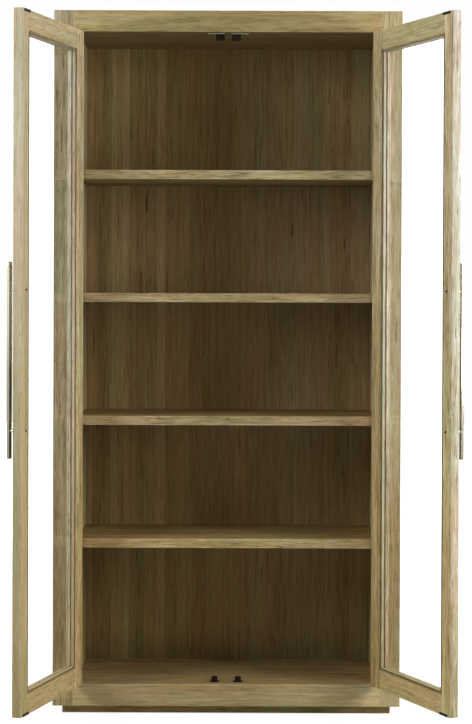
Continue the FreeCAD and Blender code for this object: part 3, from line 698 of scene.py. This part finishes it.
# Finishes of brass: bright and dull colour, least and most roughness
POLISHED = ((0.86, 0.82, 0.67), (0.72, 0.68, 0.53), 0.08, 0.14)
AGED = ((0.42, 0.34, 0.19), (0.30, 0.24, 0.13), 0.34, 0.46)
BRUSH_SCALES = (900.0, 900.0, 12.0)
BRUSH_RANGE = (0.3, 0.7)
BRUSH_BUMP = 0.01
BRUSH_RELIEF = 0.1 * MM
DULL_SCALES = (30.0, 30.0, 9.0)
DULL_RANGE = (0.35, 0.7)

# Handle bars with a painted dark reflection of the shaded door on their back, towards the door, and its tint
BAR_BACK_PAINTED_REFLECTIONS = {"left_door_handle_bar": (0.34, 0.28, 0.16)}
BAR_BACK = (Y, HIGH, 1.2, 0.6)


def brass(name, bright, dull, smoothest, roughest, reflection_darkened_bar=None):
    """Brushed brass, dulled in patches, for all nodes or for one bar with a painted dark reflection on its
    back.
    """
    material, tree, surface = new_material(name)
    place = object_place(tree)
    brushed = noise(tree, place, BRUSH_SCALES)
    patches = spread(tree, noise(tree, place, DULL_SCALES, HIGH_DETAIL), *DULL_RANGE)
    colour = mix_colour(tree, patches, bright, dull)
    if reflection_darkened_bar:
        parts = split(tree, placed(tree, frame_of(reflection_darkened_bar)))
        back = zone_share(tree, parts, square_box(reflection_darkened_bar), BAR_BACK)
        # painted dark reflection on the bar's back, towards the door
        colour = partly_tinted(tree, colour, back, BAR_BACK_PAINTED_REFLECTIONS[reflection_darkened_bar])
    roughness = spread(tree, brushed, *BRUSH_RANGE, smoothest, roughest)
    shader = add(tree, "ShaderNodeBsdfPrincipled",
                 {"Base Color": colour, "Metallic": 1.0, "Roughness": roughness,
                  "Normal": bump(tree, brushed, BRUSH_BUMP, BRUSH_RELIEF)})
    tree.links.new(shader.outputs[0], surface)
    return material


# Dark coatings: colour as it is and where it is rubbed
BLACK_COAT = ((0.010, 0.007, 0.004), (0.035, 0.026, 0.016))
BRONZE_COAT = ((0.040, 0.030, 0.012), (0.10, 0.08, 0.04))
BARE_PLATE = (0.42, 0.38, 0.24)
RUB_SCALES = (160.0, 160.0, 160.0)
RUB_RANGE = (0.5, 0.75)
COAT_ROUGHNESS = 0.5
RUBBED_ROUGHNESS = 0.36
COAT_SPECULAR = 0.06
GRIT_SCALES = (1800.0, 1800.0, 1800.0)
GRIT_BUMP = 0.2
GRIT_RELIEF = 0.1 * MM


def dark_metal(name, coat, rubbed_coat, plate_level=None):
    """A dark satin coating, rubbed here and there, with bare metal above a plate's level if one is given."""
    material, tree, surface = new_material(name)
    place = object_place(tree)
    rubbed = spread(tree, noise(tree, place, RUB_SCALES, HIGH_DETAIL), *RUB_RANGE)
    colour = mix_colour(tree, rubbed, coat, rubbed_coat)
    if plate_level:
        bare = calc(tree, "GREATER_THAN", split(tree, place)[Z], plate_level)
        colour = mix_colour(tree, bare, colour, BARE_PLATE)
    roughness = spread(tree, rubbed, 0.0, 1.0, COAT_ROUGHNESS, RUBBED_ROUGHNESS)
    grit = noise(tree, place, GRIT_SCALES, LOW_DETAIL)
    shader = add(tree, "ShaderNodeBsdfPrincipled",
                 {"Base Color": colour, "Roughness": roughness, "Specular IOR Level": COAT_SPECULAR,
                  "Normal": bump(tree, grit, GRIT_BUMP, GRIT_RELIEF)})
    tree.links.new(shader.outputs[0], surface)
    return material


GLASS = glass()
BRASS = brass("brushed_brass", *POLISHED)
AGED_BRASS = brass("aged_brass", *AGED)
BLACK = dark_metal("black_metal", *BLACK_COAT)
BRONZED = dark_metal("bronzed_screw", *BRONZE_COAT)

# The ceiling catches' plate, which is bare down to a little below its underside
CATCH_PLATE = 2.0 * MM
BARE_MARGIN = 0.5 * MM


def dress_fittings():
    for node in slot_nodes("glass"):
        paint(NODES[node], GLASS)
    for node in slot_nodes("brass"):
        paint(NODES[node], BRASS if "handle" in node else AGED_BRASS)
    # the left bar's back gets a painted dark reflection of the shaded door
    for bar in BAR_BACK_PAINTED_REFLECTIONS:
        paint(NODES[bar], brass(f"tarnished_{bar}", *POLISHED, bar))
    for node in slot_nodes("black_metal"):
        paint(NODES[node], BLACK)
    plate_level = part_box("ceiling_catches")[1].z - CATCH_PLATE - BARE_MARGIN
    paint(NODES["ceiling_catches"], dark_metal("ceiling_catch_metal", *BLACK_COAT, plate_level))


# Screws. A seat is a frame with its origin where the head sits and Z out of the surface.

HEAD_SEGMENTS = 24
HEAD_PROFILE = [(1.0, 0.0), (1.0, 0.30), (0.93, 0.62), (0.80, 0.87), (0.62, 1.0)]
POINT_WIDTH = 0.4
POINT_START = 0.9
RECESS_ARM = 0.42
RECESS_HALF_WIDTH = 0.11
RECESS_DEPTH = 0.7
RECESS_TAPER = 0.75
SHARP_ANGLE = math.radians(35)


def ring(mesh, seat, radius, level):
    turns = [math.tau * step / HEAD_SEGMENTS for step in range(HEAD_SEGMENTS)]
    return [mesh.verts.new(seat @ Vector((radius * math.cos(turn), radius * math.sin(turn), level)))
            for turn in turns]


def cross_outline(mesh, seat, radius, level, share):
    """The corners of a cross recess, at a share of its full width."""
    arm = radius * RECESS_ARM * share
    side = radius * RECESS_HALF_WIDTH * share
    corners = [(side, arm), (side, side), (arm, side)]
    outline = []
    for quarter in range(4):
        turn = Matrix.Rotation(-quarter * math.pi / 2, 4, "Z")
        outline += [mesh.verts.new(seat @ turn @ Vector((x, y, level))) for x, y in corners]
    return outline


def bridge(mesh, lower, upper):
    count = len(lower)
    for step in range(count):
        after = (step + 1) % count
        mesh.faces.new((lower[step], lower[after], upper[after], upper[step]))


def loop_edges(mesh, corners):
    followers = corners[1:] + corners[:1]
    return [mesh.edges.get(pair) for pair in zip(corners, followers)]


def add_screw(mesh, seat, radius, height, shank_radius, shank_length):
    """A pointed shank under a domed head with a cross recess."""
    levels = [
        (shank_radius * POINT_WIDTH, -shank_length),
        (shank_radius, -shank_length * POINT_START),
        (shank_radius, 0.0),
    ]
    levels += [(radius * wide, height * up) for wide, up in HEAD_PROFILE]
    rings = [ring(mesh, seat, wide, level) for wide, level in levels]
    mesh.faces.new(rings[0])
    for lower, upper in zip(rings, rings[1:]):
        bridge(mesh, lower, upper)
    mouth = cross_outline(mesh, seat, radius, height, 1.0)
    bottom = cross_outline(mesh, seat, radius, height * (1 - RECESS_DEPTH), RECESS_TAPER)
    bridge(mesh, mouth, bottom)
    mesh.faces.new(bottom)
    rims = loop_edges(mesh, rings[-1]) + loop_edges(mesh, mouth)
    bmesh.ops.triangle_fill(mesh, use_beauty=True, edges=rims)


def screws(name, body, material, seats, size):
    """One piece with a screw on each seat."""
    mesh = bmesh.new()
    for seat in seats:
        add_screw(mesh, seat, *size)
    bmesh.ops.recalc_face_normals(mesh, faces=mesh.faces)
    data = bpy.data.meshes.new(name)
    mesh.to_mesh(data)
    mesh.free()
    data.shade_smooth()
    data.set_sharp_from_angle(angle=SHARP_ANGLE)
    made = bpy.data.objects.new(name, data)
    bpy.context.scene.collection.objects.link(made)
    paint(made, material)
    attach(made, body)
    return made


def seat_at(matrix, place, outward):
    """A seat at a place in a frame, with Z along outward."""
    turn = Vector(outward).to_track_quat("Z", "Y").to_matrix().to_4x4()
    return matrix @ Matrix.Translation(place) @ turn


# Sizes of screws: head radius and height, shank radius and length
HINGE_SCREW = (3.2 * MM, 0.4 * MM, 2.0 * MM, 1.5 * MM)
STRIKE_SCREW = (2.4 * MM, 0.5 * MM, 1.5 * MM, 1.2 * MM)
CATCH_SCREW = (3.6 * MM, 1.0 * MM, 2.0 * MM, 1.5 * MM)
HANDLE_SHANK_RADIUS = 2.0 * MM

# Places of screws. A hinge screw has a height from the leaf's middle and an inset from its back edge.
HINGE_SCREW_PLACES = [(-27 * MM, 6 * MM), (0, 14 * MM), (27 * MM, 6 * MM)]
LEAF_SPACING = 100 * MM
STRIKE_SCREW_INSET = 3.5 * MM
STRIKE_SCREW_OFFSET = 13 * MM
CATCH_SCREW_INSET = 11 * MM


def leaf_middles(node):
    """The middle heights of a node's hinge leaves in the node's square frame."""
    inverse = frame_of(node).inverted()
    levels = sorted((inverse @ vertex.co).z for vertex in NODES[node].data.vertices)
    runs = [[levels[0], levels[0]]]
    for level in levels[1:]:
        if level - runs[-1][1] > LEAF_SPACING:
            runs.append([level, level])
        runs[-1][1] = level
    return [(bottom + top) / 2 for bottom, top in runs]


def leaf_seats(node, face_x, outward):
    """Seats for three staggered screws on each leaf, on the leaves' shown faces."""
    back_edge = square_box(node)[1].y
    seats = []
    for middle in leaf_middles(node):
        for up, inset in HINGE_SCREW_PLACES:
            place = Vector((face_x, back_edge - inset, middle + up))
            seats.append(seat_at(frame_of(node), place, (outward, 0, 0)))
    return seats


def hinge_screws():
    post_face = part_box("front_left_post")[1].x
    case_seats = leaf_seats("hinge_frame_leaves", post_face, 1)
    case_seats += leaf_seats("hinge_frame_leaves", -post_face, -1)
    screws("case_hinge_screws", "carcass", AGED_BRASS, case_seats, HINGE_SCREW)
    for side, sign in (("left", 1), ("right", -1)):
        low, high = square_box(f"{side}_door_hinge_stile")
        edge = low.x if sign > 0 else high.x
        seats = leaf_seats(f"{side}_door_hinge_leaves", edge, -sign)
        screws(f"{side}_door_hinge_screws", f"{side}_door", AGED_BRASS, seats, HINGE_SCREW)


def strike_screws():
    for side in ("left", "right"):
        node = f"{side}_door_strike_plates"
        low, high = square_box(node)
        middle = (low.x + high.x) / 2
        seats = []
        for level in (low.z + STRIKE_SCREW_INSET, high.z - STRIKE_SCREW_INSET):
            for offset in (-STRIKE_SCREW_OFFSET, STRIKE_SCREW_OFFSET):
                place = Vector((middle + offset, high.y, level))
                seats.append(seat_at(frame_of(node), place, (0, 1, 0)))
        screws(f"{side}_strike_screws", f"{side}_door", BLACK, seats, STRIKE_SCREW)


def ceiling_catch_screws():
    low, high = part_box("ceiling_catches")
    middle = (low.y + high.y) / 2
    underside = high.z - CATCH_PLATE
    seats = [seat_at(Matrix.Identity(4), Vector((x, middle, underside)), (0, 0, -1))
             for x in (low.x + CATCH_SCREW_INSET, high.x - CATCH_SCREW_INSET)]
    screws("ceiling_catch_screws", "carcass", BLACK, seats, CATCH_SCREW)


def handle_screws():
    for side in ("left", "right"):
        node = f"{side}_door_handle_screws"
        low, high = square_box(node)
        middle = (low.x + high.x) / 2
        radius = (high.x - low.x) / 2
        stile_face = square_box(f"{side}_door_meeting_stile")[1].y
        seats = [seat_at(frame_of(node), Vector((middle, stile_face, level)), (0, 1, 0))
                 for level in (low.z + radius, high.z - radius)]
        size = (radius, high.y - stile_face, HANDLE_SHANK_RADIUS, stile_face - low.y)
        made = screws(f"{side}_handle_screw_pair", f"{side}_door", BRONZED, seats, size)
        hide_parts(node)


# Floor, light and camera

FLOOR_REACH = 12.0
FLOOR_FADE_START = 1.6
FLOOR_FADE_END = 4.0
FLOOR_GLOW = 0.82
FLOOR_SHADE = (0.25, 0.25, 0.25)
FLOOR_ALBEDO = (0.4, 0.4, 0.4)
BEHIND_GLASS = 1.9


def seen_directly(tree):
    """1 for rays that show the surroundings themselves, straight or in glass and metal, and otherwise 0."""
    path = add(tree, "ShaderNodeLightPath")
    straight = calc(tree, "MAXIMUM", path.outputs["Is Camera Ray"], path.outputs["Is Glossy Ray"])
    return calc(tree, "MAXIMUM", straight, path.outputs["Is Transmission Ray"])


def white_level(tree):
    """How bright the white around the object is: 1, and more behind a pane, so that it stays white there."""
    depth = add(tree, "ShaderNodeLightPath").outputs["Transparent Depth"]
    return spread(tree, depth, 0.0, 1.0, 1.0, BEHIND_GLASS)


def floor():
    """A pale floor that takes the object's shadow and runs out into the white around it."""
    mesh = bpy.data.meshes.new("floor")
    corners = [(-1, -1), (1, -1), (1, 1), (-1, 1)]
    mesh.from_pydata([(x * FLOOR_REACH, y * FLOOR_REACH, 0) for x, y in corners], [], [(0, 1, 2, 3)])
    plane = bpy.data.objects.new("floor", mesh)
    bpy.context.scene.collection.objects.link(plane)
    material, tree, surface = new_material("pale_floor")
    shade = add(tree, "ShaderNodeBsdfDiffuse", {"Color": opaque(FLOOR_SHADE)})
    brightness = calc(tree, "MULTIPLY", white_level(tree), FLOOR_GLOW)
    glow = add(tree, "ShaderNodeEmission", {"Strength": brightness})
    lit = add(tree, "ShaderNodeAddShader", {0: shade.outputs[0], 1: glow.outputs[0]})
    faded = spread(tree, length(tree, object_place(tree)), FLOOR_FADE_START, FLOOR_FADE_END)
    clear = add(tree, "ShaderNodeBsdfTransparent")
    shown = mix_shaders(tree, faded, lit, clear)
    plain = add(tree, "ShaderNodeBsdfDiffuse", {"Color": opaque(FLOOR_ALBEDO)})
    tree.links.new(mix_shaders(tree, seen_directly(tree), plain, shown).outputs[0], surface)
    paint(plane, material)


FILL_STRENGTH = 0.04
LOW_SHINE = 0.42
SHINE_FADE_BOTTOM = -0.055
SHINE_FADE_TOP = 0.005


def world():
    """White around the object. Its reflections darken below the horizon, towards the studio's dim end."""
    made = bpy.data.worlds.new("studio")
    made.use_nodes = True
    tree = made.node_tree
    tree.nodes.clear()
    upward = split(tree, add(tree, "ShaderNodeTexCoord").outputs["Generated"])[Z]
    reflected = spread(tree, upward, SHINE_FADE_BOTTOM, SHINE_FADE_TOP, LOW_SHINE, 1.0)
    glossy = add(tree, "ShaderNodeLightPath").outputs["Is Glossy Ray"]
    shown = spread(tree, glossy, 0.0, 1.0, white_level(tree), reflected)
    lit = calc(tree, "SUBTRACT", shown, FILL_STRENGTH)
    strength = calc(tree, "MULTIPLY_ADD", seen_directly(tree), lit, FILL_STRENGTH)
    sky = add(tree, "ShaderNodeBackground", {"Color": opaque(WHITE), "Strength": strength})
    add(tree, "ShaderNodeOutputWorld", {"Surface": sky.outputs[0]})
    bpy.context.scene.world = made


LAMP_TARGET = Vector((0.0, -0.3, 1.0))
LAMP_DISTANCE = 2.6
TOP_LAMP_PLACE = Vector((0.0, 0.5, 3.4))
TOP_LAMP_TARGET = Vector((0.0, 0.0, 2.0))
TOP_LAMP_POWER = 15.0
TOP_LAMP_SIZE = (1.2, 0.6)

# Lamps around the object: power in watts, azimuth in degrees, height above the floor, and size
LAMPS = {
    "right_softbox": (124.0, 70.0, 1.65, (1.5, 1.6)),
    "left_softbox": (100.0, -68.0, 1.95, (1.6, 1.3)),
    "back_softbox": (90.0, 180.0, 1.6, (1.6, 1.4)),
}


def around(azimuth, height):
    """A place around the object. Azimuth 0 is straight in front and turns to the right."""
    side = math.radians(azimuth)
    away = Vector((math.sin(side), -math.cos(side), 0.0)) * LAMP_DISTANCE
    return Vector((LAMP_TARGET.x + away.x, LAMP_TARGET.y + away.y, height))


def softbox(name, power, place, target, size):
    """A soft lamp that faces a target."""
    data = bpy.data.lights.new(name, "AREA")
    data.energy = power
    data.shape = "RECTANGLE"
    data.size, data.size_y = size
    made = bpy.data.objects.new(name, data)
    made.location = place
    made.rotation_euler = (place - target).to_track_quat("Z", "Y").to_euler()
    made.visible_camera = False
    bpy.context.scene.collection.objects.link(made)


def lamps():
    for name, (power, azimuth, height, size) in LAMPS.items():
        softbox(name, power, around(azimuth, height), LAMP_TARGET, size)
    softbox("top_softbox", TOP_LAMP_POWER, TOP_LAMP_PLACE, TOP_LAMP_TARGET, TOP_LAMP_SIZE)


CAMERA_PLACE = Vector((0.0441, -5.3255, 1.1964))
CAMERA_PITCH = math.radians(0.578)
CAMERA_ROLL = math.radians(0.218)
IMAGE_WIDTH = 472
IMAGE_HEIGHT = 724
FOCAL_PIXELS = 1784.1
PRINCIPAL_X = 242.7
PRINCIPAL_Y = 317.5
SENSOR = 36.0


def camera():
    """A camera far in front of the case, a little to the right, with its view shifted down."""
    data = bpy.data.cameras.new("camera")
    data.sensor_width = SENSOR
    data.lens = FOCAL_PIXELS * SENSOR / IMAGE_HEIGHT
    data.shift_x = (IMAGE_WIDTH / 2 - PRINCIPAL_X) / IMAGE_HEIGHT
    data.shift_y = (PRINCIPAL_Y - IMAGE_HEIGHT / 2) / IMAGE_HEIGHT
    made = bpy.data.objects.new("camera", data)
    upright = Matrix.Rotation(math.pi / 2 - CAMERA_PITCH, 4, "X")
    made.matrix_world = Matrix.Translation(CAMERA_PLACE) @ upright @ Matrix.Rotation(CAMERA_ROLL, 4, "Z")
    bpy.context.scene.collection.objects.link(made)
    bpy.context.scene.camera = made


dress_wood()
dress_fittings()
hinge_screws()
strike_screws()
ceiling_catch_screws()
handle_screws()
floor()
world()
lamps()
camera()
bpy.context.scene.view_settings.view_transform = "Standard"
